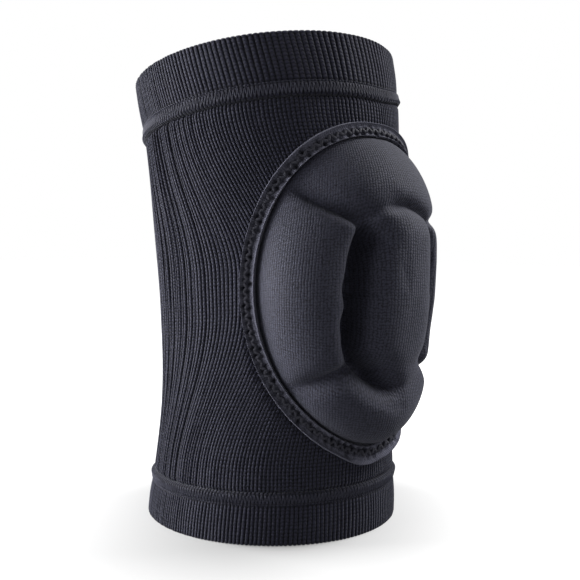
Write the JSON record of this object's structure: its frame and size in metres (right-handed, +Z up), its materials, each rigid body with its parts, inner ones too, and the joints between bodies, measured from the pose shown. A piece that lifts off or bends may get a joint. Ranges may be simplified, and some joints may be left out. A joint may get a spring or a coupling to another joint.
{
  "type": "wrestling knee pad",
  "caption": "Ribbed knit knee sleeve with a sewn hem at each end and a lobed foam cushion, bound with tape, over the knee; pulled onto the leg to guard it on a mat.",
  "frame": {"origin": "middle of the part's box in plan, at the level of the lower hem's rim", "axes": "+Z up the leg from the calf to the thigh, -Y out of the front of the knee, +X across the leg"},
  "size_m": [0.1362, 0.1655, 0.24],
  "materials": {
    "rib_knit": "dark grey ribbed knit",
    "hem_knit": "dark grey ribbed knit, doubled and sewn",
    "cushion_cover": "dark grey fine stretch knit over foam",
    "binding_tape": "dark grey tape with a zigzag seam"
  },
  "bodies": {
    "root": {"knit_sleeve": "rib_knit", "top_cuff": "hem_knit", "bottom_cuff": "hem_knit", "knee_cushion": "cushion_cover", "cushion_binding": "binding_tape"}
  },
  "joints": []
}
